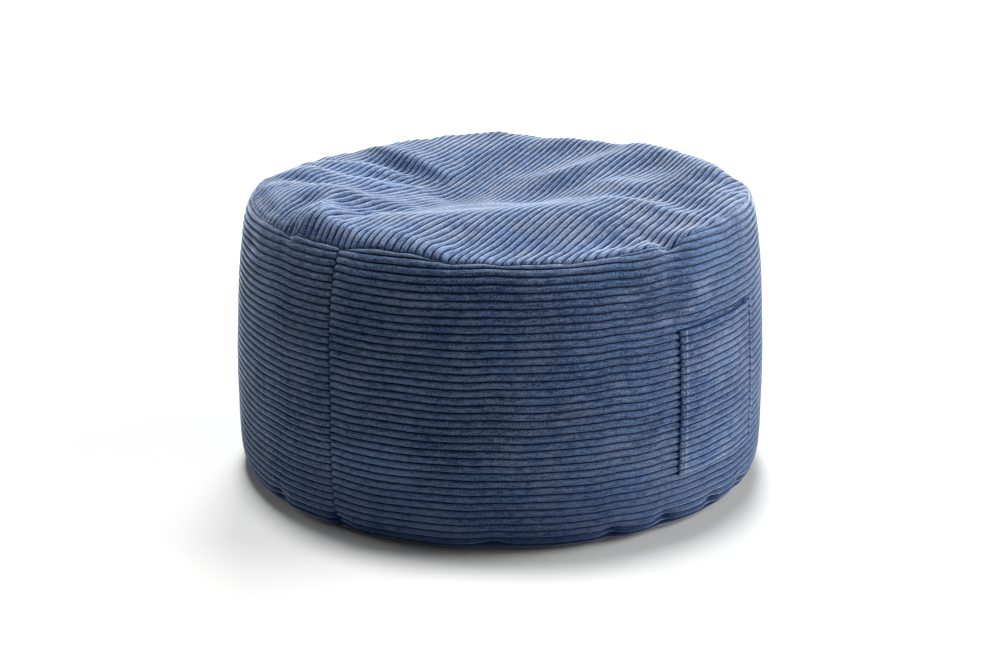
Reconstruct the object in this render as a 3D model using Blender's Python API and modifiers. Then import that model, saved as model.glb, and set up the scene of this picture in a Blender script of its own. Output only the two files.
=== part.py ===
"""A round corduroy bean bag: a filled drum with a sewn-in top, a flat base and one patch pocket.

Four cut pieces, each its own object. Metres, +Z up, +X out through the pocket, and
the origin in the middle of the resting face. The filling belongs to the pieces that hold it in:
the side band carries the drum, and the top panel carries the lens of filling under its folds.
"""

import bpy
import bmesh
from math import atan2, cos, exp, hypot, pi, radians, sin

MM = 0.001

# The bag
SEAM_HEIGHT = 336 * MM        # mean height of the seam round the top
SEAM_RADIUS = 298 * MM        # radius of that seam
SEAM_DROP = 11 * MM           # the seam lies this much lower towards the side that has sunk
SEAM_DROP_TURN = radians(-77)  # where round the bag that side is
LEAN_START = 0.55             # the side starts to lean with the seam at this share of its height
BAND_SEAM_TURN = radians(-90)  # where the band's two ends are sewn together
COLUMNS = 96                  # facets round the bag
GAP = 0.3 * MM                # between neighbouring pieces

# The base panel, a flat round sheet
BASE_RADIUS = 289.5 * MM
BASE_THICK = 3 * MM

# The side band's outline, foot to top seam: the share of the seam's height, and the radius
BAND_OUTLINE = (
    # share, radius
    (0.004, 300 * MM),
    (0.012, 311 * MM),
    (0.021, 316 * MM),
    (0.034, 319.5 * MM),
    (0.06, 322.5 * MM),
    (0.10, 324.4 * MM),
    (0.16, 325.2 * MM),
    (0.26, 325.2 * MM),
    (0.36, 325 * MM),
    (0.46, 324.2 * MM),
    (0.54, 322.7 * MM),
    (0.61, 321.3 * MM),
    (0.68, 319.8 * MM),
    (0.77, 317.2 * MM),
    (0.86, 313.3 * MM),
    (0.92, 310.2 * MM),
    (0.965, 306.5 * MM),
    (1.0, SEAM_RADIUS),
)

# The face where the top panel's filling meets the drum's, a shallow dish under the top seam
DISH_DEPTH = 45 * MM
DISH_RINGS = (0.0, 0.38, 0.64, 0.84, 1.0)         # shares of the seam's radius
TOP_RINGS = (0.0, 0.14, 0.27, 0.39, 0.5, 0.6, 0.69, 0.77, 0.84, 0.9, 0.95, 0.98, 1.0)
TOP_EDGE = 1.5 * MM           # thickness of the top panel at its sewn edge

# The folds of the top panel in mm: soft mounds and hollows, and creases from point to point
TOP_FOLDS = (
    # name, middle x, middle y, half length, half width, turn in degrees, height
    ("left front mound", -140, -180, 100, 60, -38, 22),
    ("left seam shoulder", -60, -250, 50, 35, -15, 11),
    ("left tip", -235, -110, 50, 40, -60, 8),
    ("front mound", 35, -215, 75, 65, 10, 18),
    ("right mound", 165, -100, 100, 80, 60, 18),
    ("right plain", 200, 60, 80, 60, 80, 6),
    ("back lobe", 45, 195, 70, 38, 85, 12),
    ("right lobe", 170, 130, 70, 60, -35, 6),
    ("basin", -85, 50, 120, 90, 80, -24),
    ("basin right arm", 40, 10, 65, 45, 0, -11),
    ("basin left arm", -190, 40, 60, 25, -5, -5),
    ("front valley", -50, -110, 70, 35, 85, -9),
)
TOP_CREASES = (
    # name, from x, from y, to x, to y, reach, height
    ("left brow", -265, 84, -140, 68, 20, 5),
    ("left ridge", -255, -22, -195, 10, 22, 5),
    ("second ridge", -225, -88, -130, -40, 28, 6),
    ("mound's back", -112, -170, -60, -120, 29, 7),
    ("mound's edge", -212, -192, -150, -240, 20, 6),
    ("spur", -96, -200, -48, -262, 20, 4),
    ("valley to the seam", -34, -200, -28, -250, 18, -5),
    ("front edge", -75, -276, 5, -282, 18, 6),
    ("shoulder", 175, -205, 258, -100, 24, 4),
    ("basin floor", -75, 0, -20, -38, 28, -5),
    ("sunk back", -150, 235, -30, 288, 28, -5),
    ("sunk right back", 112, 266, 215, 202, 18, -7),
)
FOLD_FADE = 16                # how late the folds die away towards the seam, as a power

# The sewn line down the band, a soft groove
GROOVE_DEPTH = 3 * MM
GROOVE_REACH = radians(3)     # half its width, round the bag
DRAWN_REACH = radians(15)     # the facets are drawn together this far on either side of it
DRAWN_SHARE = 0.35            # width left to the facet at the line

# The puckers where the band is gathered under the base
PUCKER_DEPTH = 1.2 * MM
PUCKER_REACH = 34 * MM        # they have died away at this height
PUCKERS = ((11, 0.6), (19, 2.0))                  # how many round the bag, and their start

# The pocket, a sheet sewn on at its sides and its bottom
POCKET_TURN = radians(-2.4)   # its middle
POCKET_HALF_TURN = radians(13.4)
POCKET_BOTTOM = 70 * MM
POCKET_MOUTH = 237 * MM
POCKET_THICK = 2.6 * MM
POCKET_STAND_OFF = 0.45 * MM  # between the band and the sewn edges
POCKET_GAPE = 8.5 * MM        # how far the mouth stands open in its middle
POCKET_GAPE_DEPTH = 105 * MM  # how far down the gape reaches
POCKET_GAPE_FALL = 1.5        # how late the gape closes towards the sewn sides, as a power
POCKET_ACROSS = 26            # facets across
POCKET_UP = 14                # facets up

DENIM_BLUE = (0.085, 0.145, 0.295, 1.0)


def soft_step(value):
    """0 below 0, 1 above 1, and a smooth S between."""
    value = min(max(value, 0.0), 1.0)
    return value * value * (3 - 2 * value)


def between(rows, share):
    """The second column of rows, read in proportion at a value of the first."""
    for (low, low_value), (high, high_value) in zip(rows, rows[1:]):
        if share <= high:
            return low_value + (high_value - low_value) * max(share - low, 0.0) / (high - low)
    return rows[-1][1]


def seam_height(x, y):
    """Height of the top seam's slightly tilted plane over a point."""
    towards_sunk = (x * cos(SEAM_DROP_TURN) + y * sin(SEAM_DROP_TURN)) / SEAM_RADIUS
    return SEAM_HEIGHT - SEAM_DROP * towards_sunk


def fold_height(x, y):
    """How far the top panel stands over the seam's plane."""
    total = 0.0
    for _, middle_x, middle_y, half_length, half_width, turn, height in TOP_FOLDS:
        away_x = x / MM - middle_x
        away_y = y / MM - middle_y
        along = (away_x * cos(radians(turn)) + away_y * sin(radians(turn))) / half_length
        across = (away_y * cos(radians(turn)) - away_x * sin(radians(turn))) / half_width
        total += height * MM * exp(-along * along - across * across)
    for _, from_x, from_y, to_x, to_y, reach, height in TOP_CREASES:
        length = hypot(to_x - from_x, to_y - from_y)
        away_x, away_y = x / MM - from_x, y / MM - from_y
        along = (away_x * (to_x - from_x) + away_y * (to_y - from_y)) / length
        across = (away_y * (to_x - from_x) - away_x * (to_y - from_y)) / length
        past = max(-along, along - length, 0.0)
        total += height * MM * exp(-(across * across + past * past) / reach**2)
    fade = 1 - min(hypot(x, y) / SEAM_RADIUS, 1.0) ** FOLD_FADE
    return total * fade


def turn_from_seam(turn):
    """The signed angle from the sewn line down the band."""
    return (turn - BAND_SEAM_TURN + pi) % (2 * pi) - pi


def band_radius(turn, height):
    """Outer radius of the band, with its groove and its puckers."""
    radius = between(BAND_OUTLINE, height / SEAM_HEIGHT)
    groove = exp(-(turn_from_seam(turn) / GROOVE_REACH) ** 2) * soft_step(height / PUCKER_REACH)
    radius -= GROOVE_DEPTH * groove * soft_step((SEAM_HEIGHT - height) / PUCKER_REACH)
    gathered = 1 - soft_step(height / PUCKER_REACH)
    waves = sum(cos(count * turn + start) for count, start in PUCKERS)
    return radius + PUCKER_DEPTH * gathered * waves / len(PUCKERS)


def drawn_to_seam(turn):
    """An angle moved so that facets lie closer together at the band's sewn line."""
    away = turn_from_seam(turn)
    if abs(away) < DRAWN_REACH:
        away *= DRAWN_SHARE + (1 - DRAWN_SHARE) * abs(away) / DRAWN_REACH
    return BAND_SEAM_TURN + away


def dish_height(share):
    """Height of the dish over the seam's plane, at a share of the seam's radius."""
    return -DISH_DEPTH * (1 - share * share)


def cloth_material(name, colour):
    material = bpy.data.materials.new(name)
    material.use_nodes = True
    shader = material.node_tree.nodes["Principled BSDF"]
    shader.inputs["Base Color"].default_value = colour
    shader.inputs["Roughness"].default_value = 0.9
    shader.inputs["Metallic"].default_value = 0.0
    return material


def add_object(name, mesh, material, collection):
    thing = bpy.data.objects.new(name, mesh)
    mesh.materials.append(material)
    collection.objects.link(thing)
    return thing


def turned_mesh(name, outline):
    """A closed outline of (radius, height) pairs, spun once round the Z axis."""
    profile = bpy.data.meshes.new(name + "_profile")
    points = [(radius, 0.0, height) for radius, height in outline]
    profile.from_pydata(points, [(i, i + 1) for i in range(len(points) - 1)], [])
    spun = bpy.data.objects.new(name + "_profile", profile)
    bpy.context.scene.collection.objects.link(spun)
    screw = spun.modifiers.new("Screw", "SCREW")
    screw.steps = COLUMNS
    screw.render_steps = COLUMNS
    screw.use_merge_vertices = True
    screw.merge_threshold = 0.00001
    bpy.context.view_layer.update()
    evaluated = spun.evaluated_get(bpy.context.evaluated_depsgraph_get())
    mesh = bpy.data.meshes.new_from_object(evaluated)
    mesh.name = name
    bpy.data.objects.remove(spun)
    return mesh


def moved(mesh, place):
    """Each vertex of a mesh moved to where place(x, y, z) says."""
    for vertex in mesh.vertices:
        vertex.co = place(*vertex.co)
    mesh.update()
    return mesh


def make_base_panel(collection):
    mesh = bpy.data.meshes.new("base_panel")
    disc = bmesh.new()
    bmesh.ops.create_cone(
        disc, cap_ends=True, segments=COLUMNS, radius1=BASE_RADIUS, radius2=BASE_RADIUS, depth=BASE_THICK
    )
    bmesh.ops.translate(disc, verts=disc.verts, vec=(0, 0, BASE_THICK / 2))
    disc.to_mesh(mesh)
    disc.free()
    return add_object("base_panel", mesh, cloth_material("base_cloth", DENIM_BLUE), collection)


def make_side_band(collection):
    """The drum: its dished top, its bowed side, its rolled foot and its flat seat on the base."""
    seat = BASE_THICK + GAP
    foot_edge = BASE_RADIUS + 2 * GAP
    dish = [(share * SEAM_RADIUS, SEAM_HEIGHT + dish_height(share)) for share in DISH_RINGS[:-1]]
    side = [(radius, share * SEAM_HEIGHT) for share, radius in reversed(BAND_OUTLINE)]
    foot = [(foot_edge, BAND_OUTLINE[0][0] * SEAM_HEIGHT), (foot_edge, seat), (0.0, seat)]
    mesh = turned_mesh("side_band", dish + side + foot)

    def place(x, y, z):
        turn = drawn_to_seam(atan2(y, x))
        radius = hypot(x, y)
        on_side = radius > foot_edge + GAP
        in_dish = not on_side and z > SEAM_HEIGHT / 2
        if on_side:
            radius = band_radius(turn, z)
        x, y = radius * cos(turn), radius * sin(turn)
        lean = 1.0 if in_dish else soft_step((z / SEAM_HEIGHT - LEAN_START) / (1 - LEAN_START))
        return (x, y, z + (seam_height(x, y) - SEAM_HEIGHT) * lean)

    moved(mesh, place)
    return add_object("side_band", mesh, cloth_material("band_cloth", DENIM_BLUE), collection)


def make_top_panel(collection):
    """The folded top, filled down to the dish it sits in."""
    upper = [(share * SEAM_RADIUS, TOP_EDGE) for share in TOP_RINGS]
    under = [(share * SEAM_RADIUS, dish_height(share) + GAP) for share in reversed(DISH_RINGS)]
    mesh = turned_mesh("top_panel", upper + under)

    def place(x, y, z):
        turn = drawn_to_seam(atan2(y, x))
        radius = hypot(x, y)
        x, y = radius * cos(turn), radius * sin(turn)
        folded = fold_height(x, y) if z > TOP_EDGE / 2 else 0.0
        return (x, y, seam_height(x, y) + z + folded)

    moved(mesh, place)
    return add_object("top_panel", mesh, cloth_material("top_cloth", DENIM_BLUE), collection)


def make_pocket(collection):
    """The pocket's outer sheet, bowed away from the band towards its mouth."""
    sheet = bmesh.new()
    bmesh.ops.create_grid(sheet, x_segments=POCKET_ACROSS, y_segments=POCKET_UP, size=1.0)
    for vertex in sheet.verts:
        across, up = vertex.co.x, (vertex.co.y + 1) / 2
        turn = POCKET_TURN + across * POCKET_HALF_TURN
        height = POCKET_BOTTOM + up * (POCKET_MOUTH - POCKET_BOTTOM)
        open_up = soft_step(1 - (POCKET_MOUTH - height) / POCKET_GAPE_DEPTH)
        open_across = (1 - across * across) ** POCKET_GAPE_FALL
        radius = band_radius(turn, height) + POCKET_STAND_OFF + POCKET_GAPE * open_up * open_across
        vertex.co = (radius * cos(turn), radius * sin(turn), height)
    mesh = bpy.data.meshes.new("pocket")
    sheet.to_mesh(mesh)
    sheet.free()
    pocket = add_object("pocket", mesh, cloth_material("pocket_cloth", DENIM_BLUE), collection)
    solid = pocket.modifiers.new("Solidify", "SOLIDIFY")
    solid.thickness = POCKET_THICK
    solid.offset = 1.0
    return pocket


def build():
    for thing in list(bpy.data.objects):
        bpy.data.objects.remove(thing)
    collection = bpy.data.collections.new("bean_bag")
    bpy.context.scene.collection.children.link(collection)
    make_base_panel(collection)
    band = make_side_band(collection)
    top = make_top_panel(collection)
    make_pocket(collection)
    for round_piece in (band, top):
        round_piece.data.shade_smooth()


build()
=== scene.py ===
"""The looks of a round corduroy bean bag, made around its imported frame.

The bag is sewn from four cuts of the same jumbo corduroy: a side band, a patch pocket, a top
panel and a base panel. Each cut starts here as flat cloth with its ribs in rows, and is then
bent to its place. Metres, +Z up, +X out through the pocket.
"""

from math import cos, exp, pi, radians, sin, sqrt

import bmesh
import bpy
import numpy as np
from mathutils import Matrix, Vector


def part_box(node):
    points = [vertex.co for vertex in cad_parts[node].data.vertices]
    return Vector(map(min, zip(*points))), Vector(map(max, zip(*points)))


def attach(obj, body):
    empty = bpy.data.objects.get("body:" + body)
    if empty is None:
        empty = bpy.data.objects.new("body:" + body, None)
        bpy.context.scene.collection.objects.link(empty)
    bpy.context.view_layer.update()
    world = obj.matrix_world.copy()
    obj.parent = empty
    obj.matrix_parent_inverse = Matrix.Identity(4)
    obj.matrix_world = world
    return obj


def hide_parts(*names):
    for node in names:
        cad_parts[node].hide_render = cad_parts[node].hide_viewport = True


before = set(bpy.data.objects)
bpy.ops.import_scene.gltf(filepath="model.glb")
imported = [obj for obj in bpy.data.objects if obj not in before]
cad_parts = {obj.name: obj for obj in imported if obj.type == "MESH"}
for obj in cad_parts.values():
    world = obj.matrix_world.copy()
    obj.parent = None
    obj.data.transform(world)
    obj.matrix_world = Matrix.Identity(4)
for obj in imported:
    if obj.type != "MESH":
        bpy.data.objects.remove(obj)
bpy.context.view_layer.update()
MM = 0.001


# --- Side band -----------------------------------------------------------------------------
# One long strip of corduroy with its ribs running round the bag, sewn end to end at one upright
# seam. It bows out over the filling, rolls under to the base and turns in to the top seam.

drum_low, drum_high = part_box("side_band")
BELLY = drum_high.x                # largest radius
SEAM_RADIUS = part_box("top_panel")[1].x
SEAM_DROP = 11 * MM                # the top seam lies this much lower towards the sunken side
SEAM_DROP_TURN = radians(-77)
SEAM_HEIGHT = drum_high.z - SEAM_DROP
LEAN_START = 0.55                  # the side leans with the top seam above this share of its height
BAND_SEAM_TURN = radians(-90)
pocket_low, pocket_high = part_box("pocket")
POCKET_TURN = radians(-2.4)        # its middle
POCKET_HALF_TURN = radians(13.4)
POCKET_LIFT = 4.6 * MM             # its ribs lie this much higher than the band's
POCKET_TILT = 2.0 * MM             # and more at its far edge, less at its near one

RIB_PITCH = 8.664 * MM
RIB_TALL = 3.8 * MM
RIB_SHAPE = (0.0, 0.06, 0.15, 0.32, 0.5, 0.68, 0.85, 0.94)   # where a rib's rows lie, groove to groove
RIB_OFFSET = 4.2 * MM              # from the foot to the band's first groove

# The band's outline from its sewn foot to the tuck in the top seam
BAND_OUTLINE = (
    # share of the seam's height, radius
    (0.004, 290 * MM),
    (0.004, 300 * MM),
    (0.012, 311 * MM),
    (0.021, 316 * MM),
    (0.034, 319.5 * MM),
    (0.06, 322.5 * MM),
    (0.10, 324.4 * MM),
    (0.16, 325.2 * MM),
    (0.36, 325.0 * MM),
    (0.46, 324.2 * MM),
    (0.54, 322.7 * MM),
    (0.61, 321.3 * MM),
    (0.68, 319.8 * MM),
    (0.77, 317.2 * MM),
    (0.86, 313.3 * MM),
    (0.92, 310.2 * MM),
    (0.965, 306.5 * MM),
    (0.99, 302.5 * MM),
    (1.0, 298 * MM),
    (0.992, 295.4 * MM),
    (0.968, 294.4 * MM),
)
OUTLINE_ROUNDING = 7               # how far its corners are rounded, in steps of 1 mm

# How the top seam waves up and down round the bag
SEAM_WAVE = (
    # turn in degrees, rise
    (-180, -2 * MM),
    (-163, -1 * MM),
    (-150, 4 * MM),
    (-125, 5 * MM),
    (-115, 5 * MM),
    (-110, 4.2 * MM),
    (-105.3, -0.5 * MM),
    (-101.5, 7 * MM),
    (-95, 5 * MM),
    (-90, 3.3 * MM),
    (-80, 9 * MM),
    (-74, 8.5 * MM),
    (-66.5, 3 * MM),
    (-63.6, -1.5 * MM),
    (-61, 0 * MM),
    (-52, -2 * MM),
    (-38, -3.3 * MM),
    (-34.5, -3.6 * MM),
    (-31.5, -0.6 * MM),
    (-26, -0.5 * MM),
    (-18.6, 0 * MM),
    (-15.8, -6.5 * MM),
    (-8, 5.5 * MM),
    (2, 7 * MM),
    (14, 8 * MM),
    (36, 1 * MM),
    (58, -12 * MM),
    (85, -14 * MM),
    (104, -13 * MM),
    (114, -4 * MM),
    (127, 4 * MM),
    (150, 0 * MM),
    (165, -4 * MM),
    (180, -2 * MM),
)
SEAM_RIPPLES = (
    # small ones on top of that: how many round the bag, their start, their height
    (31, 1, 0.6 * MM),
    (49, 0, 0.5 * MM),
)

# How the band's upright seam wanders sideways
SEAM_PATH = (
    # height, sideways
    (0, 9 * MM),
    (40 * MM, 7.8 * MM),
    (70 * MM, 6.2 * MM),
    (110 * MM, 6.6 * MM),
    (150 * MM, 7 * MM),
    (180 * MM, 5.8 * MM),
    (235 * MM, 3.6 * MM),
    (265 * MM, 3 * MM),
    (290 * MM, 3.6 * MM),
    (320 * MM, 5.4 * MM),
    (350 * MM, 6 * MM),
)
SEAM_PATH_REACH = 70 * MM          # the cloth beside the seam has followed it by this far away

# Soft dents and bulges in the side
BAND_DENTS = (
    # turn in degrees, height, half width round the bag, half height, how deep
    (-122, 300 * MM, 22 * MM, 9 * MM, 3.0 * MM),
    (-118, 286 * MM, 26 * MM, 10 * MM, -1.6 * MM),
    (-55, 13 * MM, 14 * MM, 8 * MM, 4.0 * MM),
    (-30.5, 15 * MM, 12 * MM, 9 * MM, 5.5 * MM),
    (-18, 18 * MM, 13 * MM, 10 * MM, 5.5 * MM),
    (-4, 19 * MM, 13 * MM, 10 * MM, 5.5 * MM),
    (8, 18 * MM, 14 * MM, 10 * MM, 4.0 * MM),
    (-106, 19 * MM, 13 * MM, 10 * MM, 5.5 * MM),
    (-89, 16 * MM, 13 * MM, 9 * MM, 4.0 * MM),
    (-128, 20 * MM, 14 * MM, 9 * MM, 3.0 * MM),
    (40, 15 * MM, 15 * MM, 9 * MM, 3.5 * MM),
    (75, 13 * MM, 16 * MM, 9 * MM, 4.0 * MM),
    (100, 16 * MM, 13 * MM, 9 * MM, 3.5 * MM),
    (138, 14 * MM, 16 * MM, 9 * MM, 4.5 * MM),
    (-168, 15 * MM, 15 * MM, 10 * MM, 4.0 * MM),
    (60, 292 * MM, 40 * MM, 14 * MM, 2.0 * MM),
    (120, 300 * MM, 45 * MM, 13 * MM, 2.4 * MM),
    (165, 290 * MM, 40 * MM, 16 * MM, 2.0 * MM),
)
UNEVEN = 0.55 * MM                 # the filled side's slow unevenness, from this height up
UNEVEN_FROM = 30 * MM

# The foot is gathered into its seam
GATHERS = ((11, 0.6), (19, 2.0))   # how many round the bag, and their start
GATHER_DEEP = 0.6 * MM
GATHER_HIGH = 34 * MM


def soft_step(value):
    """0 below 0, 1 above 1, and a smooth S between."""
    value = np.clip(value, 0.0, 1.0)
    return value * value * (3 - 2 * value)


def eased(rows, at):
    """The second column of rows at values of the first, easing from row to row."""
    places, values = np.array(rows, float).T
    row = np.clip(np.searchsorted(places, at) - 1, 0, len(places) - 2)
    share = soft_step((at - places[row]) / (places[row + 1] - places[row]))
    return values[row] + (values[row + 1] - values[row]) * share


def rib_share(phase):
    """How high a rib stands from groove, 0, to crown, 1. The phase counts ribs."""
    across = np.abs(2 * (phase % 1.0) - 1)
    return (1 - across**2.5) ** 0.62


def rib_rows(low, high, offset):
    """Places across the cloth, in metres, and their phases, for every rib from low to high."""
    first = int(np.floor((low - offset) / RIB_PITCH))
    last = int(np.ceil((high - offset) / RIB_PITCH))
    phases = np.concatenate([rib + np.array(RIB_SHAPE) for rib in range(first, last)] + [[last]])
    return offset + phases * RIB_PITCH, phases


def flat_cloth(name, along, across):
    """A flat grid of cloth: its mesh, and the row and column of each of its vertices."""
    cloth = bmesh.new()
    bmesh.ops.create_grid(cloth, x_segments=len(along) - 1, y_segments=len(across) - 1, size=1.0)
    mesh = bpy.data.meshes.new(name)
    cloth.to_mesh(mesh)
    cloth.free()
    places = np.empty(len(mesh.vertices) * 3)
    mesh.vertices.foreach_get("co", places)
    places = places.reshape(-1, 3)
    column = np.rint((places[:, 0] + 1) / 2 * (len(along) - 1)).astype(int)
    row = np.rint((places[:, 1] + 1) / 2 * (len(across) - 1)).astype(int)
    return mesh, column, row


def note_cloth(mesh, along, across):
    """Keeps each vertex's place on the flat cloth, in metres, as the mesh's UV map."""
    corners = np.empty(len(mesh.loops), int)
    mesh.loops.foreach_get("vertex_index", corners)
    flat = np.stack([along[corners], across[corners]], 1)
    mesh.uv_layers.new(name="cloth").data.foreach_set("uv", flat.astype(np.float32).ravel())


def note_wear_and_light(mesh, wear_and_light):
    """Keeps each vertex's wear and painted light: pale from rubbing and painted highlights at 1, as it
    grows at 0, painted shade as dark as bare ground at -1.
    """
    mesh.attributes.new("wear_and_light", "FLOAT", "POINT").data.foreach_set("value", wear_and_light.astype(np.float32))


def bend(mesh, x, y, z):
    """Puts the vertices of a mesh at their places."""
    mesh.vertices.foreach_set("co", np.stack([x, y, z], 1).astype(np.float32).ravel())
    mesh.update()


def seam_rise(turn):
    """How far the top seam lies over its mean height, round the bag."""
    return -SEAM_DROP * np.cos(turn - SEAM_DROP_TURN) + seam_wave(turn)


def seam_wave(turn):
    """The waves in that rise, without the drop to the sunken side."""
    wave = eased(SEAM_WAVE, (np.degrees(turn) + 180) % 360 - 180)
    for count, start, tall in SEAM_RIPPLES:
        wave = wave + tall * np.sin(count * turn + start)
    return wave


def rounded_outline():
    """The band's outline as radius and height, every millimetre, with its corners rounded."""
    shares = np.array(BAND_OUTLINE)
    radius, height = shares[:, 1], shares[:, 0] * SEAM_HEIGHT
    run = np.concatenate([[0], np.cumsum(np.hypot(np.diff(radius), np.diff(height)))])
    steps = np.linspace(0, run[-1], int(run[-1] / MM))
    lines = [np.interp(steps, run, line) for line in (radius, height)]
    reach = np.hanning(OUTLINE_ROUNDING * 2 + 1)
    padded = [np.pad(line, OUTLINE_ROUNDING, "edge") for line in lines]
    return [np.convolve(line, reach / reach.sum(), "valid") for line in padded]


outline_radius, outline_height = rounded_outline()


def band_softness(turn, height):
    """Slow unevenness of the filled side, in metres."""
    waves = (
        np.sin(3 * turn + 0.4) * np.sin(height / (95 * MM) + 1.1)
        + 0.7 * np.sin(5 * turn + 2.1 + height / (130 * MM))
        + 0.5 * np.sin(9 * turn - height / (70 * MM))
        + 0.3 * np.sin(14 * turn + 1.3 + height / (60 * MM))
    )
    return UNEVEN * waves


def turned_past(turn, middle):
    """How far a turn lies past a middle one, in radians, the short way round."""
    return (turn - middle + pi) % (2 * pi) - pi


def band_column(turn):
    """Radius, height and run of the band's outline at one turn round the bag."""
    lean = soft_step((outline_height / SEAM_HEIGHT - LEAN_START) / (1 - LEAN_START))
    height = outline_height + lean * seam_rise(turn)
    radius = outline_radius + band_softness(turn, height) * soft_step(height / UNEVEN_FROM)
    gathers = GATHER_DEEP * sum(cos(count * turn + start) for count, start in GATHERS)
    radius = radius + gathers * (1 - soft_step(height / GATHER_HIGH)) * soft_step(height / (3 * MM))
    for dent_turn, dent_height, wide, tall, deep in BAND_DENTS:
        beside = turned_past(turn, radians(dent_turn)) * BELLY / wide
        above = (height - dent_height) / tall
        radius = radius - deep * np.exp(-(beside**2) - above**2)
    run = np.concatenate([[0], np.cumsum(np.hypot(np.diff(radius), np.diff(height)))])
    return radius, height, run


BAND_LONG = 2 * pi * BELLY         # the cut strip, end to end
BAND_TALL = 372 * MM               # and from its foot to its upper edge
END_STEPS = np.array([0, 0.5, 1, 1.6, 2.4, 3.6, 5.5, 8.5, 13, 20]) * MM     # columns by the sewn ends
BAND_COLUMNS = 258                 # between them
END_ROUNDING = 1.9 * MM            # the ribs' ends are rounded over this length
END_EVEN = 5 * MM                  # where a rib's rows are spaced evenly, to wrap that end
STITCH_DEEP, STITCH_WIDE = 1.6 * MM, 0.8 * MM
PULL_DEEP, PULL_WIDE = 0.8 * MM, 8 * MM           # the seam pulls in the cloth beside it
ZIGZAG, ZIGZAG_REACH = 0.9 * MM, 4 * MM           # the ends' ribs and grooves interlock
RIB_WANDER = 0.45 * MM             # how far the ribs wander up and down
CLIMB_FROM, CLIMB_TO = radians(60), radians(225)  # between these turns they climb by half a rib
along = np.concatenate([
    END_STEPS,
    np.linspace(END_STEPS[-1], BAND_LONG - END_STEPS[-1], BAND_COLUMNS + 2)[1:-1],
    BAND_LONG - END_STEPS[::-1],
])
across, phases = rib_rows(0, BAND_TALL, RIB_OFFSET)
even_phases = np.arange(len(phases)) / len(RIB_SHAPE) + phases[0]

band_mesh, column, row = flat_cloth("side_band_cloth", along, across)
turn_of = BAND_SEAM_TURN + along / BELLY
band_x, band_y, band_z = (np.empty(len(column)) for _ in range(3))
cloth_u, cloth_v = along[column], np.empty(len(column))
for place, turn in enumerate(turn_of):
    here = column == place
    radius, height, run = band_column(turn)
    end = min(along[place], BAND_LONG - along[place])
    to_even = 1 - soft_step(end / END_EVEN)
    phase = phases * (1 - to_even) + even_phases * to_even
    climb = 0.5 * soft_step((turn - CLIMB_FROM) / (CLIMB_TO - CLIMB_FROM))
    at = RIB_OFFSET + (phase + climb) * RIB_PITCH
    wander = np.sin(7 * turn + at / (40 * MM)) + np.sin(17 * turn - at / (26 * MM))
    at = np.clip(at + RIB_WANDER * wander * soft_step(end / SEAM_PATH_REACH), 0, run[-1])
    rounded_end = sqrt(1 - (1 - min(end / END_ROUNDING, 1)) ** 2)
    deep = RIB_TALL * (1 - rib_share(phase) * rounded_end)
    deep = deep + STITCH_DEEP * exp(-((end / STITCH_WIDE) ** 2))
    deep = deep + PULL_DEEP * exp(-((end / PULL_WIDE) ** 2))
    out_radius = np.gradient(height, run)
    out_height = -np.gradient(radius, run)
    level = np.interp(at, run, height) - deep * np.interp(at, run, out_height)
    reach = np.interp(at, run, radius) - deep * np.interp(at, run, out_radius)
    zigzag = ZIGZAG * np.sin(2 * pi * at / RIB_PITCH) * (1 - soft_step(end / ZIGZAG_REACH))
    aside = zigzag + eased(SEAM_PATH, level) * (1 - soft_step(end / SEAM_PATH_REACH))
    rows_here = row[here]
    band_x[here] = (reach * np.cos(turn + aside / BELLY))[rows_here]
    band_y[here] = (reach * np.sin(turn + aside / BELLY))[rows_here]
    band_z[here] = np.maximum(level, drum_low.z)[rows_here]
    cloth_v[here] = (phase * RIB_PITCH)[rows_here]
note_cloth(band_mesh, cloth_u, cloth_v)
bend(band_mesh, band_x, band_y, band_z)

# Where the band is made paler by rubbed pile and painted light, and darker by painted shade
# Pale patches on the side, partly rubbed pile and partly painted light
BAND_RUBS_AND_LIGHT = (
    # turn in degrees, height, half width round the bag, half height, how much
    (-19, 251 * MM, 11 * MM, 5 * MM, 0.7),
    (-8, 276 * MM, 16 * MM, 12 * MM, 0.5),
    (-12, 259 * MM, 10 * MM, 6 * MM, 0.5),
    (-28, 283 * MM, 22 * MM, 9 * MM, 0.4),
    (-70, 285 * MM, 40 * MM, 5 * MM, 0.3),
    (8, 225 * MM, 18 * MM, 9 * MM, 0.4),
)
# Rubbed pile and a painted highlight along the top seam, where the overhead light falls on the rim
RIM_RUB_AND_HIGHLIGHT, RIM_RUB_AND_HIGHLIGHT_TALL = 0.35, 7 * MM              # along the top seam
# Painted shade that darkens the band towards its foot
FOOT_SHADE = (
    # how much, from which height down, over which height
    (0.38, 115 * MM, 70 * MM),
    (0.5, 30 * MM, 26 * MM),
)
# Painted shade in the dents near the foot; deeper dents are darker
DENT_SHADE = 0.11                   # for each mm of depth, in the dents below the next height
DENT_SHADE_HIGH = 60 * MM
# Painted shadow on the band behind the pocket's mouth
MOUTH_DROP = 2.2 * MM              # the dark behind the pocket ends this far under its mouth
HOLE_PLACE, HOLE_WIDE, HOLE_TALL = 0.76, 0.12, 3.0 * MM   # and stands up at the mouth's far corner

band_turn = np.arctan2(band_y, band_x)
from_rim = (SEAM_HEIGHT + seam_rise(band_turn) - band_z) / RIM_RUB_AND_HIGHLIGHT_TALL
# Painted light: the rim and the patches are made pale
rubbed_and_lit = RIM_RUB_AND_HIGHLIGHT * np.exp(-(from_rim**2))
for rub_turn, rub_height, wide, tall, amount in BAND_RUBS_AND_LIGHT:
    beside, above = (band_turn - radians(rub_turn)) * BELLY / wide, (band_z - rub_height) / tall
    rubbed_and_lit = np.maximum(rubbed_and_lit, amount * np.exp(-(beside**2) - above**2))
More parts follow.
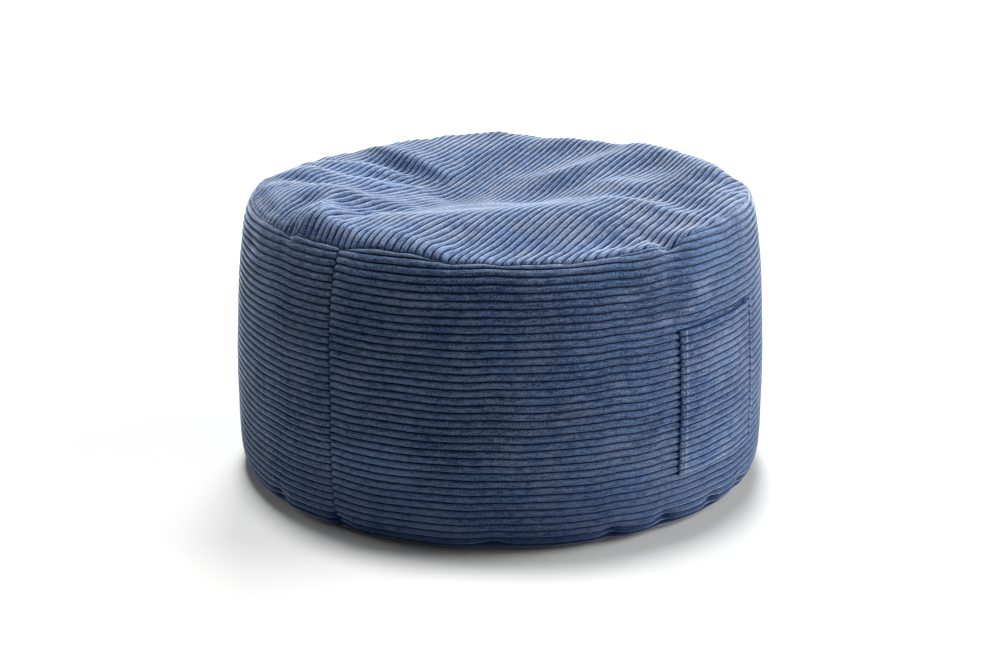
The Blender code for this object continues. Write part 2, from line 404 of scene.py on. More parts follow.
# Painted shade: darker towards the foot and in the dents there
painted_shade = sum(amount * soft_step((high - band_z) / reach) for amount, high, reach in FOOT_SHADE)
for dent_turn, dent_height, wide, tall, deep in BAND_DENTS:
    beside = turned_past(band_turn, radians(dent_turn)) * BELLY / wide * 1.5
    dented = np.exp(-(beside**2) - ((band_z - dent_height) / tall) ** 2)
    painted_shade = painted_shade + DENT_SHADE * deep / MM * dented * (band_z < DENT_SHADE_HIGH)
# Painted shadow: the band under the pocket is painted dark up to just under its mouth, and higher at
# its far corner
across_pocket = (band_turn - POCKET_TURN) / POCKET_HALF_TURN
dark_to = pocket_high.z - MOUTH_DROP + POCKET_LIFT + POCKET_TILT * across_pocket
dark_to = dark_to + HOLE_TALL * np.exp(-(((across_pocket - HOLE_PLACE) / HOLE_WIDE) ** 2))
covered = (np.abs(across_pocket) < 0.98) & (band_z > pocket_low.z) & (band_z < dark_to)
note_wear_and_light(band_mesh, np.where(covered, -1.0, np.clip(rubbed_and_lit - painted_shade, -0.9, 1)))


def open_edges(cloth, is_wanted=lambda edge: True):
    """The edges where a cloth ends, with a face on one side only."""
    return [edge for edge in cloth.edges if edge.is_boundary and is_wanted(edge)]


def extruded(cloth, edges):
    """Grows a strip of faces from an edge, and gives the new vertices, still in the old places."""
    grown = bmesh.ops.extrude_edge_only(cloth, edges=edges)["geom"]
    return [part for part in grown if isinstance(part, bmesh.types.BMVert)]


def close_in(cloth, edges, middle):
    """Carries an open edge in to one middle point, out of sight, so that the form is closed."""
    bmesh.ops.pointmerge(cloth, verts=extruded(cloth, edges), merge_co=middle)


def finished_piece(name, cloth, mesh, material):
    """The piece's object, its faces turned out and shaded smooth."""
    bmesh.ops.recalc_face_normals(cloth, faces=cloth.faces)
    cloth.to_mesh(mesh)
    cloth.free()
    mesh.shade_smooth()
    mesh.materials.append(material)
    piece = bpy.data.objects.new(name, mesh)
    bpy.context.scene.collection.objects.link(piece)
    return piece


PILE_DARK = (0.018, 0.035, 0.080, 1)
PILE_LIGHT = (0.089, 0.141, 0.252, 1)
PILE_BRUSHED = (0.130, 0.156, 0.216, 1)       # where the pile is crushed and shows its tips
# Pale rubbed pile, also used for painted highlights and sheen
PILE_WORN_AND_LIT = (0.200, 0.250, 0.350, 1)          # on the crests of folds and along seams
PILE_SHADE = (0.66, 0.72, 0.82, 1)            # how much darker it is down a rib's flanks
# The ground in the grooves, painted darker to stand for their shade, and the colour of the painted
# shadows
GROUND_AND_SHADE_DARK = (0.0020, 0.0120, 0.0560, 1)     # the bare ground in the grooves
GROOVE = (0.34, 0.45)                         # from crown to groove the ground shows between these
FLANK = (0.12, 0.42)                          # and the flanks darken between these, in ribs
TUFTS = 620                                   # speckles of the pile's tufts, to the metre
STREAKS = (90, 420, 1)                        # along and across the ribs
CLOUDS = 9
CRUSHED = 21                                  # patches of crushed pile
SHEEN_TINT = (0.84, 0.93, 1.0, 1)
PILE_BUMP = 0.5 * MM


# brushed_and_lit sets how many pale crushed patches show; it is raised on the top and the pocket as
# painted light, since the lamps light them most
def corduroy(name, brushed_and_lit=0.4, sheen=0.75):
    """Cut-pile cotton: speckled ribs with paler crushed patches, and dark bare grooves between that
    are painted darker for their shade; wear and painted light come from an attribute.
    """
    material = bpy.data.materials.new(name)
    material.use_nodes = True
    nodes, links = material.node_tree.nodes, material.node_tree.links
    shader = nodes["Principled BSDF"]

    def joined(kind, inputs, output=0, **settings):
        """A node with its settings and inputs filled in, as the socket that it gives."""
        made = nodes.new(kind)
        for key, value in settings.items():
            setattr(made, key, value)
        for socket, value in inputs.items():
            if isinstance(value, bpy.types.NodeSocket):
                links.new(value, made.inputs[socket])
            else:
                made.inputs[socket].default_value = value
        return made.outputs[output]

    def sum_of(first, second):
        return joined("ShaderNodeMath", {0: first, 1: second}, operation="ADD")

    def times(first, second):
        return joined("ShaderNodeMath", {0: first, 1: second}, operation="MULTIPLY")

    def larger_of(first, second):
        return joined("ShaderNodeMath", {0: first, 1: second}, operation="MAXIMUM")

    def ramped(value, low, high):
        inputs = {0: value, 1: low, 2: high}
        return joined("ShaderNodeMapRange", inputs, interpolation_type="SMOOTHSTEP")

    def mixed(share, first, second):
        return joined("ShaderNodeMix", {0: share, 6: first, 7: second}, 2, data_type="RGBA")

    def noise(place, scale, detail, roughness=0.55, stretch=(1, 1, 1)):
        place = joined("ShaderNodeMapping", {"Vector": place, "Scale": stretch})
        return joined("ShaderNodeTexNoise", {
            "Vector": place, "Scale": scale, "Detail": detail, "Roughness": roughness,
        })

    flat = joined("ShaderNodeUVMap", {}, uv_map="cloth")
    solid = joined("ShaderNodeTexCoord", {}, "Object")
    across = joined("ShaderNodeSeparateXYZ", {0: flat}, 1)
    phase = joined("ShaderNodeMath", {0: times(across, 1 / RIB_PITCH)}, operation="FRACT")
    from_crown = joined("ShaderNodeMath", {0: sum_of(phase, -0.5)}, operation="ABSOLUTE")
    groove = ramped(from_crown, *GROOVE)

    speckle = noise(solid, TUFTS, 2, 0.7)
    streak = noise(flat, 1, 3, 0.6, STREAKS)
    cloudy = noise(solid, CLOUDS, 3, 0.6)
    tone = sum_of(times(speckle, 0.44), sum_of(times(streak, 0.34), times(cloudy, 0.22)))
    pile = mixed(ramped(tone, 0.42, 0.58), PILE_DARK, PILE_LIGHT)
    crushed = noise(solid, CRUSHED, 3, 0.6, (1, 1, 0.8))
    crushed = times(ramped(crushed, 0.47, 0.60), times(ramped(tone, 0.40, 0.56), brushed_and_lit))
    pile = mixed(crushed, pile, PILE_BRUSHED)
    # Wear and painted light: positive values paint the pile pale for rubbing and painted highlights,
    # negative values paint shade as dark as the ground
    wear_and_light = joined("ShaderNodeAttribute", {}, 2, attribute_name="wear_and_light")
    worn_and_lit = larger_of(times(wear_and_light, ramped(tone, 0.36, 0.52)), 0.0)
    pile = mixed(worn_and_lit, pile, PILE_WORN_AND_LIT)
    ground_and_shade = larger_of(groove, ramped(times(wear_and_light, -1.0), 0.0, 1.0))
    shaded = joined("ShaderNodeMix", {
        0: ramped(from_crown, *FLANK), 6: pile, 7: PILE_SHADE,
    }, 2, data_type="RGBA", blend_type="MULTIPLY")
    links.new(mixed(ground_and_shade, shaded, GROUND_AND_SHADE_DARK), shader.inputs["Base Color"])
    shader.inputs["Roughness"].default_value = 0.95
    shader.inputs["Specular IOR Level"].default_value = 0.06
    shader.inputs["Sheen Weight"].default_value = sheen
    shader.inputs["Sheen Roughness"].default_value = 0.3
    shader.inputs["Sheen Tint"].default_value = SHEEN_TINT
    tufts = sum_of(speckle, times(streak, 0.5))
    links.new(joined("ShaderNodeBump", {
        "Strength": 0.6, "Distance": PILE_BUMP, "Height": tufts,
    }), shader.inputs["Normal"])
    return material


OVER_FLOOR = 4 * MM                # the band is closed this far over its foot, out of sight,
UNDER_TOP = 46 * MM                # and this far under its top seam
band = bmesh.new()
band.from_mesh(band_mesh)
bmesh.ops.remove_doubles(band, verts=band.verts, dist=0.01 * MM)
half_up = SEAM_HEIGHT / 2
foot = open_edges(band, lambda edge: edge.verts[0].co.z < half_up)
close_in(band, foot, (0, 0, drum_low.z + OVER_FLOOR))
close_in(band, open_edges(band), (0, 0, SEAM_HEIGHT - UNDER_TOP))
side_band = finished_piece("side_band_cloth", band, band_mesh, corduroy("band_corduroy"))
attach(side_band, "root")
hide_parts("side_band")


# --- Top panel -----------------------------------------------------------------------------
# A round panel of the same corduroy, set into the band with a plain seam. The filling has sunk
# under it, so it lies in folds, mounds at the front and right and a basin left of the middle.

TOP_RIB_TURN = radians(97.5)       # which way the top's ribs run
TOP_RIB_OFFSET = 2.0 * MM
TOP_LIP = 5 * MM                   # the edge turns down into the seam over this width
ROLL_RISE = 8 * MM                 # at the front left the edge rolls over more
ROLL_TURN, ROLL_REACH = radians(-88), radians(20)
TOP_FOLDS = (
    # middle x, middle y, half length, half width, turn in degrees, height, all but the turn in mm
    (-140, -178, 100, 58, -38, 20),    # left front mound
    (-60, -250, 50, 35, -15, 11),
    (-235, -110, 50, 40, -60, 8),
    (35, -215, 75, 65, 10, 18),        # front mound
    (145, -85, 95, 70, 60, 17),        # right mound
    (200, 60, 80, 60, 80, 6),
    (45, 195, 70, 38, 85, 12),         # back lobe
    (170, 130, 70, 60, -35, 6),
    (-85, 50, 120, 90, 80, -24),       # basin
    (40, 10, 65, 45, 0, -11),
    (-190, 40, 60, 25, -5, -5),
    (-50, -110, 70, 35, 85, -9),       # front valley
)
TOP_CREASES = (
    # from x, y, to x, y, reach to its left, to its right, height, all in mm
    (-265, 84, -140, 68, 24, 13, 5),       # brow over the hollow at the left
    (-240, 38, -185, 44, 12, 14, -3),
    (-262, -22, -195, 12, 13, 26, 5),      # ridge in front of it
    (-185, -22, -150, 8, 12, 16, -3),
    (-225, -88, -150, -64, 14, 36, 7),     # second ridge
    (-150, -60, -122, -12, 14, 26, 4),
    (-205, -140, -160, -138, 16, 18, -5),
    (-112, -170, -60, -120, 34, 24, 7),    # back of the left front mound
    (-215, -178, -135, -240, 24, 12, 5),   # edge over the seam at the left
    (-112, -222, -108, -232, 18, 20, -6),
    (-96, -200, -48, -262, 13, 26, 4),     # spur down to the seam
    (-36, -200, -28, -250, 14, 16, -6),    # valley beside it
    (-75, -278, 5, -284, 18, 9, 7),        # front edge over the seam
    (40, -272, 110, -264, 18, 10, 4),
    (60, -135, 75, -128, 36, 40, 5),
    (95, -205, 108, -220, 26, 26, -4),
    (175, -205, 258, -100, 34, 16, -3),    # flat up to the seam at the right front
    (150, 8, 262, 4, 12, 24, 3.6),         # pale ridge out to the seam at the right
    (175, 46, 252, 42, 22, 16, -3.5),      # and the valley behind it
    (226, -50, 268, -62, 14, 14, 1.2),
    (255, 100, 266, 30, 16, 14, 4),
    (-75, 0, -20, -38, 30, 26, -5),
    (-60, 92, -20, 88, 36, 36, 4),
    (15, 118, 25, 134, 22, 24, 5),
    (40, 55, 50, 70, 24, 24, -4),
    (110, 90, 135, 82, 28, 24, 5),
    (80, 8, 100, 2, 22, 22, 3),
    (200, 62, 202, 84, 18, 20, -4),
)
TOP_SHOULDER = (
    # turn in degrees, how high the top stands over its seam before it rounds down to it, in mm
    (-180, 0),
    (-38, 0),
    (-26, -3),
    (-8, -4),
    (8, -1),
    (20, 0),
    (30, 4),
    (42, 17.5),
    (54, 18.5),
    (65, 16.5),
    (78, 12.5),
    (91, 9),
    (98, 11),
    (105, 11),
    (117, 3),
    (130, 0),
    (145, 0),
    (180, 0),
)
SHOULDER_RADIUS = 264              # where it stands highest
SHOULDER_REACH = (22, 38)          # and its reach outward and inward from there, all in mm
FOLD_FADE = 24                     # how late the folds die away towards the seam, as a power
TOP_OVER_SEAM = 2.0 * MM           # the crowns of its ribs lie this much over the band's seam


def fold_relief(x, y):
    """How far the folds lift the top, in mm, at places in mm."""
    relief = np.zeros_like(x)
    for middle_x, middle_y, half_length, half_width, turn, height in TOP_FOLDS:
        cosine, sine = cos(radians(turn)), sin(radians(turn))
        lengthwise = ((x - middle_x) * cosine + (y - middle_y) * sine) / half_length
        sideways = ((y - middle_y) * cosine - (x - middle_x) * sine) / half_width
        relief += height * np.exp(-(lengthwise**2) - sideways**2)
    for from_x, from_y, to_x, to_y, reach_left, reach_right, height in TOP_CREASES:
        length = sqrt((to_x - from_x) ** 2 + (to_y - from_y) ** 2)
        unit_x, unit_y = (to_x - from_x) / length, (to_y - from_y) / length
        along = (x - from_x) * unit_x + (y - from_y) * unit_y
        leftward = (y - from_y) * unit_x - (x - from_x) * unit_y
        reach = 0.5 * (reach_left + reach_right)
        past = np.maximum(np.maximum(-along, along - length), 0) / reach
        off = np.abs(leftward) / np.where(leftward > 0, reach_left, reach_right)
        crest = np.sqrt(off**2 + 0.04) - 0.2      # a ridge with its top rounded a little
        relief += height * np.exp(-1.25 * crest**1.6 - past**2)
    out = np.hypot(x, y) - SHOULDER_RADIUS
    shoulder = np.exp(-((out / np.where(out > 0, *SHOULDER_REACH)) ** 2))
    return relief + shoulder * eased(TOP_SHOULDER, np.degrees(np.arctan2(y, x)))


def top_height(x, y):
    """Height of the top's folded surface, at its rib crowns."""
    share = np.minimum(np.hypot(x, y) / SEAM_RADIUS, 1)
    turn = np.arctan2(y, x)
    tilt = -SEAM_DROP * (x * cos(SEAM_DROP_TURN) + y * sin(SEAM_DROP_TURN)) / SEAM_RADIUS
    folds = fold_relief(x / MM, y / MM) * MM * (1 - share**FOLD_FADE)
    rolled = ROLL_RISE * np.exp(-(((turn - ROLL_TURN) / ROLL_REACH) ** 2))
    lip = TOP_LIP + rolled
    rim = np.clip(1 - (1 - share) * SEAM_RADIUS / lip, 0, 1)
    dive = lip * (1 - np.sqrt(1 - 0.97 * rim**2))
    edge = seam_wave(turn) * share**8 + rolled * share**6 - dive
    return SEAM_HEIGHT + TOP_OVER_SEAM + tilt + folds + edge


def disc_rows(radius, offset, short):
    """Rows across a round cloth from edge to edge, and their phases. The last ones fall short."""
    across, _ = rib_rows(-radius, radius, offset)
    inside = np.abs(across) < radius - 0.3 * MM
    across = np.concatenate([[short - radius], across[inside], [radius - short]])
    return across, (across - offset) / RIB_PITCH


TOP_RADIUS = SEAM_RADIUS - 0.5 * MM
across, phases = disc_rows(TOP_RADIUS, TOP_RIB_OFFSET, 0.1 * MM)
TOP_EDGE_STEPS = np.array([0, 0.8, 1.7, 2.7, 4, 6, 9]) * MM     # columns close to the seam
TOP_COLUMNS = 140                  # between them
inner = np.linspace(-1, 1, TOP_COLUMNS + 1)
last_column = TOP_COLUMNS + 2 * len(TOP_EDGE_STEPS) - 2
top_mesh, column, row = flat_cloth("top_panel_cloth", range(last_column + 1), across)
side = across[row]
half_chord = np.sqrt(TOP_RADIUS**2 - side**2)
inset = np.minimum(TOP_EDGE_STEPS[-1], 0.3 * half_chord)
from_end = np.minimum(column, last_column - column)
at_edge = from_end < len(TOP_EDGE_STEPS)
edge_place = TOP_EDGE_STEPS[np.minimum(from_end, len(TOP_EDGE_STEPS) - 1)] / TOP_EDGE_STEPS[-1] * inset
middle_place = inner[np.clip(column - len(TOP_EDGE_STEPS) + 1, 0, TOP_COLUMNS)] * (half_chord - inset)
end_sign = np.where(column < TOP_COLUMNS / 2 + len(TOP_EDGE_STEPS), -1, 1)
run = np.where(at_edge, end_sign * (half_chord - edge_place), middle_place)
top_x = cos(TOP_RIB_TURN) * run - sin(TOP_RIB_TURN) * side
top_y = sin(TOP_RIB_TURN) * run + cos(TOP_RIB_TURN) * side
note_cloth(top_mesh, run, side - TOP_RIB_OFFSET)

NUDGE = 0.5 * MM                   # a slope is measured over this far to each side
slope_x = (top_height(top_x + NUDGE, top_y) - top_height(top_x - NUDGE, top_y)) / (2 * NUDGE)
slope_y = (top_height(top_x, top_y + NUDGE) - top_height(top_x, top_y - NUDGE)) / (2 * NUDGE)
steep = np.sqrt(1 + slope_x**2 + slope_y**2)
from_middle = np.hypot(top_x, top_y)
from_seam = SEAM_RADIUS - from_middle

# The crests of the folds get a painted sheen, pale where the cloth stands over its neighbourhood
CREST_REACH = 11 * MM
CREST_TALL = 0.9 * MM
CREST_SHEEN = 0.36                   # at the most
crown_level = top_height(top_x, top_y)
nearby = [
    top_height(top_x + CREST_REACH * cos(turn), top_y + CREST_REACH * sin(turn))
    for turn in (0, pi / 2, pi, -pi / 2)
]
crest = (crown_level - sum(nearby) / 4) / CREST_TALL
note_wear_and_light(top_mesh, CREST_SHEEN * soft_step(crest - 0.15))

# Its ribs are flatter over the shoulder at the back, and stand up along the seam at the front
BACK_TURN = radians(36.5)          # from +Y towards -X
BACK_REACH = 120 * MM
ALONG_SEAM = 16 * MM               # the cloth this near to the seam
SHOULDER_FROM, SHOULDER_WIDE = 225 * MM, 30 * MM
behind = soft_step((top_y * cos(BACK_TURN) - top_x * sin(BACK_TURN)) / BACK_REACH)
near_seam = soft_step(1 - from_seam / ALONG_SEAM)
over_shoulder = soft_step((from_middle - SHOULDER_FROM) / SHOULDER_WIDE)
rib_depth = RIB_TALL * (1 + near_seam * (0.6 - 1.0 * behind) - 0.4 * behind * over_shoulder)
sunk = rib_depth * (1 - rib_share(phases[row])) / steep
lean = sunk * soft_step(from_seam / (6 * MM))
bend(top_mesh, top_x + lean * slope_x, top_y + lean * slope_y, crown_level - sunk)

TURNED_DOWN = 8 * MM               # its edge is turned down into the seam,
UNDER_SEAM = 40 * MM               # and the panel is closed this far under it
top = bmesh.new()
top.from_mesh(top_mesh)
for vertex in extruded(top, open_edges(top)):
    vertex.co.z -= TURNED_DOWN
close_in(top, open_edges(top), (0, 0, SEAM_HEIGHT - UNDER_SEAM))
# The top gets more pale crushed patches, partly painted light for the well-lit top
top_panel = finished_piece("top_panel_cloth", top, top_mesh, corduroy("top_corduroy", brushed_and_lit=0.8))
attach(top_panel, "root")
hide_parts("top_panel")


# --- Pocket --------------------------------------------------------------------------------
# A patch of the same corduroy with its ribs level with the band's. Its side edges are turned
# under and sewn down, which leaves a knobbly bead, and its mouth stands a little open.

POCKET_OFF_BAND = 0.45 * MM        # its back lies this far off the band's ribs
POCKET_THICK = 1.8 * MM
POCKET_GAPE = 1.3 * MM             # how far its mouth stands open,
POCKET_HOLE = 2.4 * MM             # how much more at the mouth's far corner,
POCKET_HOLE_PLACE = 19 * MM        # which lies this far from the edge
POCKET_HOLE_WIDE = 6 * MM
POCKET_GAPE_DEPTH = 105 * MM       # and from how far down the cloth leaves the band
POCKET_HEM_DROP = 5.2 * MM         # its lower edge ends this far under a groove
BEAD_WIDE = 7.6 * MM
BEAD_TALL = 2.4 * MM               # at the side edge that faces the band's seam
FAR_BEAD_TALL = 0.8 * MM           # at the other one, which is pulled flatter
KNOB_TWIST = 0.10                  # how far the bead's knobs slant, in ribs
SCALLOP, SCALLOP_WIDE = 3.2 * MM, 3.0 * MM        # the edge is drawn in between the knobs
RIDGE_TALL, RIDGE_PLACE, RIDGE_WIDE = 0.8 * MM, 1.6 * MM, 1.1 * MM     # beside the near bead
FAR_STITCH_DEEP, FAR_STITCH_PLACE, FAR_STITCH_WIDE = 1.7 * MM, 0.3 * MM, 0.7 * MM


def nearest_groove(level):
    """How far along the band's outline from its foot the groove nearest to a height lies."""
    _, height, run = band_column(POCKET_TURN)
    rising = slice(0, int(np.argmax(height)))
    at = np.interp(level, height[rising], run[rising])
    return RIB_OFFSET + RIB_PITCH * round((at - RIB_OFFSET) / RIB_PITCH)


mouth_run = nearest_groove(pocket_high.z)
bottom_run = nearest_groove(pocket_low.z) - POCKET_HEM_DROP
across, phases = rib_rows(bottom_run, mouth_run, RIB_OFFSET)
inside = (across > bottom_run + 0.4 * MM) & (across < mouth_run - 0.4 * MM)
across = np.concatenate([[bottom_run], across[inside], [mouth_run]])
phases = (across - RIB_OFFSET) / RIB_PITCH
half_wide = POCKET_HALF_TURN * BELLY
EDGE_STEPS = np.array([
    0, 0.4, 0.9, 1.6, 2.5, 3.5, 4.6, 5.6, 6.5, 7.2, 7.8, 8.5, 9.3, 10.2, 11.5, 14,
]) * MM                            # columns close to its side edges
POCKET_COLUMNS = 24                # between them
inner_half = half_wide - EDGE_STEPS[-1]
along = np.concatenate([
    EDGE_STEPS - half_wide,
    np.linspace(-inner_half, inner_half, POCKET_COLUMNS + 2)[1:-1],
    half_wide - EDGE_STEPS[::-1],
])
pocket_mesh, column, row = flat_cloth("pocket_cloth", along, across)
note_cloth(pocket_mesh, along[column], across[row] - RIB_OFFSET)

# The pocket's painted light: a painted highlight on the cloth beside the near bead, painted shade
# on the bead and the lower hem, and painted shadow in the nicks between the knobs and along the mouth
PALE_LINE, PALE_PLACE, PALE_WIDE = 0.95, 8.6 * MM, 1.7 * MM
BEAD_SHADE, BEAD_SHADE_WIDE = 0.2, 6.6 * MM
HEM_SHADE, HEM_SHADE_TALL = 0.3, 2 * MM
MOUTH_DARK = 1.6 * MM
from_edge = half_wide - np.abs(along[column])
near_side = along[column] < 0
in_groove = 1 - rib_share(phases[row])
pale = PALE_LINE * np.exp(-(((from_edge - PALE_PLACE) / PALE_WIDE) ** 2))
pale = pale - BEAD_SHADE * (from_edge < BEAD_SHADE_WIDE)
pale = pale * near_side * (1 - 0.6 * in_groove)
pale = pale - HEM_SHADE * (across[row] < bottom_run + HEM_SHADE_TALL)
# Painted shadow in the nicks between the knobs, wider in the grooves
nick = np.where(near_side, 0.2 + 7.2 * in_groove**1.6, 1.2 + 8.5 * in_groove) * MM
dark = (from_edge < nick) | (mouth_run - across[row] < MOUTH_DARK)
note_wear_and_light(pocket_mesh, np.where(dark, -1.0, pale))


def outer_face(edge, near_bead):
    """How far the outer face stands off the inner one, and is drawn in, this far from the edge."""
    crown = rib_share(phases)
    knob = 1 + 0.16 * np.sin(2.4 * np.floor(phases)) + 0.08 * np.sin(5.3 * np.floor(phases))
    in_bead = edge / BEAD_WIDE
    slant = rib_share(phases + KNOB_TWIST * (2 * in_bead - 1)) if in_bead < 1 else crown
    rounded = sqrt(max(1 - abs(2 * in_bead - 1) ** 2.6, 0))
    bead = (BEAD_TALL if near_bead else FAR_BEAD_TALL) * rounded * (0.1 + 0.9 * slant) * knob
    bead = bead * soft_step((mouth_run - across) / (4 * MM))
    beside = edge - BEAD_WIDE
    if near_bead:
        ridge = RIDGE_TALL * exp(-(((beside - RIDGE_PLACE) / RIDGE_WIDE) ** 2))
        flat_part = POCKET_THICK * soft_step((edge - 0.8 * BEAD_WIDE) / (0.3 * BEAD_WIDE))
        lift = np.maximum(bead, flat_part) + ridge * crown
    else:
        stitch = FAR_STITCH_DEEP * exp(-(((beside - FAR_STITCH_PLACE) / FAR_STITCH_WIDE) ** 2))
        turned_edge = POCKET_THICK * sqrt(min(edge / (1.6 * MM), 1))
        lift = turned_edge + bead - stitch * (1.2 - 0.6 * crown)
    drawn_in = SCALLOP * (1 - slant) * (1 - soft_step(edge / SCALLOP_WIDE))
    return lift - RIB_TALL * (1 - slant), drawn_in


def pocket_places(column, row, inner):
    """Where the pocket's cloth lies: its ribbed outer face, or its smooth inner one."""
    x, y, z = (np.empty(len(column)) for _ in range(3))
    foot = soft_step((across - bottom_run) / (3 * MM))
    hem = 0.5 * POCKET_THICK * (soft_step((mouth_run - across) / (2.2 * MM)) - 1)
    open_up = soft_step(1 - (mouth_run - across) / POCKET_GAPE_DEPTH)
    for place, aside in enumerate(along):
        here = column == place
        rows_here = row[here]
        edge = half_wide - abs(aside)
        share = aside / half_wide
        turn = POCKET_TURN + aside / BELLY
        radius, height, run = band_column(turn)
        lifted = across + POCKET_LIFT + POCKET_TILT * share
        corner = exp(-(((half_wide - POCKET_HOLE_PLACE - aside) / POCKET_HOLE_WIDE) ** 2))
        gape = POCKET_GAPE * open_up + POCKET_HOLE * corner * open_up**12
        reach = np.interp(lifted, run, radius) + POCKET_OFF_BAND + (1 - share**2) ** 0.9 * gape
        if not inner:
            stands, drawn_in = outer_face(edge, near_bead=aside < 0)
            reach = reach + stands * foot + hem
            turn = turn - np.sign(share) * drawn_in / BELLY
        x[here] = (reach * np.cos(turn))[rows_here]
        y[here] = (reach * np.sin(turn))[rows_here]
        z[here] = np.interp(lifted, run, height)[rows_here]
    return x, y, z


bend(pocket_mesh, *pocket_places(column, row, inner=False))
pocket = bmesh.new()
pocket.from_mesh(pocket_mesh)
inner_mesh = pocket_mesh.copy()
bend(inner_mesh, *pocket_places(column, row, inner=True))
pocket.from_mesh(inner_mesh)
bpy.data.meshes.remove(inner_mesh)
bmesh.ops.bridge_loops(pocket, edges=open_edges(pocket))
pocket_corduroy = corduroy("pocket_corduroy", brushed_and_lit=0.6)
pocket_cloth = finished_piece("pocket_cloth", pocket, pocket_mesh, pocket_corduroy)
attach(pocket_cloth, "root")
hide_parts("pocket")


# --- Base panel ----------------------------------------------------------------------------
# A round panel of the same corduroy, sewn to the foot of the band all round. The bag stands on
# it, so it lies flat on the floor and its ribs are pressed down.

base_low, base_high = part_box("base_panel")
BASE_RADIUS = base_high.x
BASE_COLUMNS = 24
BASE_RIBS = 0.6                    # its ribs keep this share of their height
across, phases = disc_rows(BASE_RADIUS, 0.0, 0.15 * MM)
along = np.linspace(-1, 1, BASE_COLUMNS + 1)
base_mesh, column, row = flat_cloth("base_panel_cloth", along, across)
side = across[row]
run = along[column] * np.sqrt(BASE_RADIUS**2 - side**2)
note_cloth(base_mesh, run, side)
pressed = BASE_RIBS * RIB_TALL * (1 - rib_share(phases[row]))
bend(base_mesh, side, run, base_low.z + pressed)
base = bmesh.new()
base.from_mesh(base_mesh)
for vertex in extruded(base, open_edges(base)):
    vertex.co.z = base_high.z
close_in(base, open_edges(base), (0, 0, base_high.z))
base_panel = finished_piece("base_panel_cloth", base, base_mesh, corduroy("base_corduroy"))
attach(base_panel, "root")
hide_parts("base_panel")


# --- Studio --------------------------------------------------------------------------------
# A pale floor, a white wall far off all round, and five suns: one overhead, one low from the
# right, one low from behind, and weak ones from the left and from the front right.

FLOOR_HALF = 14.0
FLOOR_GREY = (0.463, 0.463, 0.460, 1)
WALL_TALL = 12.0
WALL_GLOW = 1.05


def plain_paint(name, sockets):
    """A paint that is the same all over."""
    paint = bpy.data.materials.new(name)
    paint.use_nodes = True
    for socket, value in sockets.items():
        paint.node_tree.nodes["Principled BSDF"].inputs[socket].default_value = value
    return paint


def studio_piece(name, form, paint):
    """A painted part of the studio, from its bmesh."""
    mesh = bpy.data.meshes.new(name)
    form.to_mesh(mesh)
    form.free()
    mesh.materials.append(paint)
    piece = bpy.data.objects.new(name, mesh)
    bpy.context.scene.collection.objects.link(piece)
    return piece


ground = bmesh.new()
bmesh.ops.create_grid(ground, x_segments=1, y_segments=1, size=FLOOR_HALF)
floor_paint = plain_paint("floor_paint", {"Base Color": FLOOR_GREY, "Roughness": 0.9})
floor = studio_piece("floor", ground, floor_paint)

# The wall glows white for the camera alone, and throws no light on the bag
wall = bmesh.new()
wall_radius = FLOOR_HALF - 0.1
bmesh.ops.create_cone(
    wall, cap_ends=False, segments=64, radius1=wall_radius, radius2=wall_radius, depth=WALL_TALL
)
bmesh.ops.reverse_faces(wall, faces=wall.faces)
wall_paint = plain_paint("wall_paint", {
    "Base Color": (0, 0, 0, 1),
    "Emission Color": (1, 1, 1, 1),
    "Emission Strength": WALL_GLOW,
})
backdrop = studio_piece("backdrop", wall, wall_paint)
backdrop.visible_diffuse = False
backdrop.visible_glossy = False
backdrop.visible_shadow = False

VIEW_TURN = radians(36.5)          # the camera stands this far round the bag from -Y towards +X
away = Vector((-sin(VIEW_TURN), cos(VIEW_TURN), 0))      # from the camera to the bag, level
right = Vector((cos(VIEW_TURN), sin(VIEW_TURN), 0))

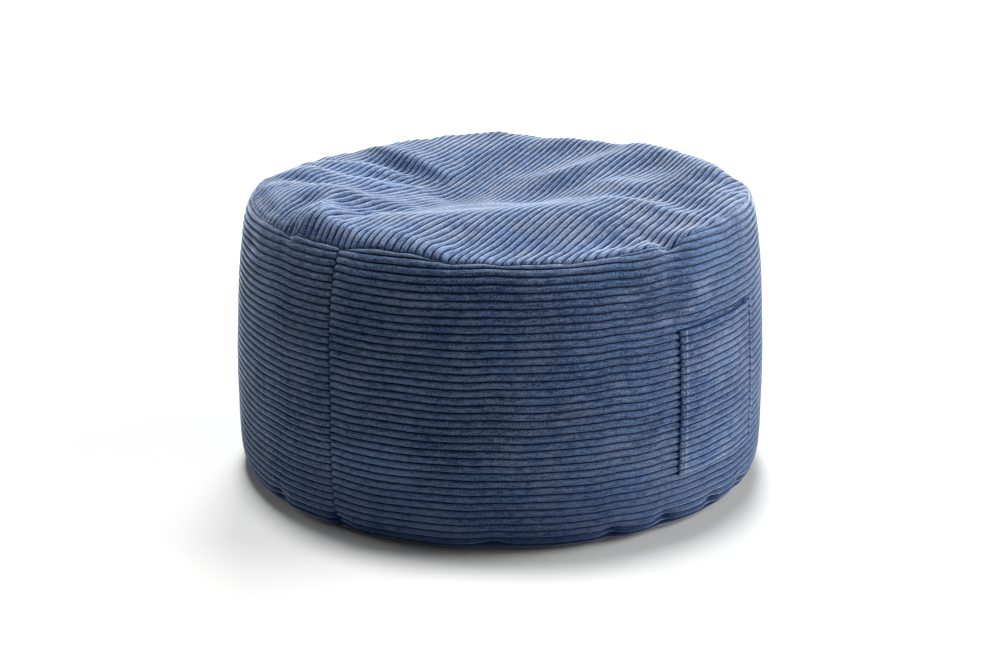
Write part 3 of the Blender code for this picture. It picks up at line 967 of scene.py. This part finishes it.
SUNS = (
    # name, how far to the right, away and up it stands, energy, width in degrees
    ("key_light", -0.06, 0.24, 1.2, 4.15, 13),
    ("side_light", 0.98, 0.16, 0.42, 5.7, 38),
    ("back_light", 0.05, 1.0, 0.40, 4.0, 22),
    ("left_light", -0.97, 0.38, 0.45, 1.2, 30),
    ("front_light", 0.80, -0.50, 0.11, 1.4, 60),
)
for name, to_right, to_back, up, energy, wide in SUNS:
    light = bpy.data.lights.new(name, "SUN")
    light.energy = energy
    light.angle = radians(wide)
    sun = bpy.data.objects.new(name, light)
    sun.location = right * to_right + away * to_back + Vector((0, 0, up))
    sun.rotation_euler = (-sun.location).to_track_quat("-Z", "Y").to_euler()
    bpy.context.scene.collection.objects.link(sun)

# A black card out of view takes the floor's glow off the bag's left front
CARD_SIZE = (1.1, 0.54, 1)
CARD_TURN = VIEW_TURN - radians(28)
card_form = bmesh.new()
bmesh.ops.create_grid(card_form, x_segments=1, y_segments=1, size=0.5)
card_paint = plain_paint("card_paint", {"Base Color": (0.01, 0.01, 0.01, 1), "Roughness": 0.9})
card = studio_piece("black_card", card_form, card_paint)
card.location = away * -0.82 - right * 0.42 + Vector((0, 0, 0.27))
card.rotation_euler = (pi / 2, 0, CARD_TURN)
card.scale = CARD_SIZE
card.visible_camera = False
card.visible_shadow = False

WORLD_GLOW = 0.02
world = bpy.data.worlds.new("studio")
world.use_nodes = True
background = world.node_tree.nodes["Background"]
background.inputs["Color"].default_value = (1, 1, 1, 1)
background.inputs["Strength"].default_value = WORLD_GLOW
bpy.context.scene.world = world

CAMERA_AWAY = 2.0208
CAMERA_HIGH = 0.7951
CAMERA_DOWN = radians(17.69)
camera_data = bpy.data.cameras.new("camera")
camera_data.lens = 61.2
camera_data.sensor_width = 36
camera = bpy.data.objects.new("camera", camera_data)
camera.location = away * -CAMERA_AWAY + Vector((0, 0, CAMERA_HIGH))
camera.rotation_euler = (pi / 2 - CAMERA_DOWN, 0, VIEW_TURN)
bpy.context.scene.collection.objects.link(camera)
bpy.context.scene.camera = camera
bpy.context.scene.view_settings.view_transform = "Standard"
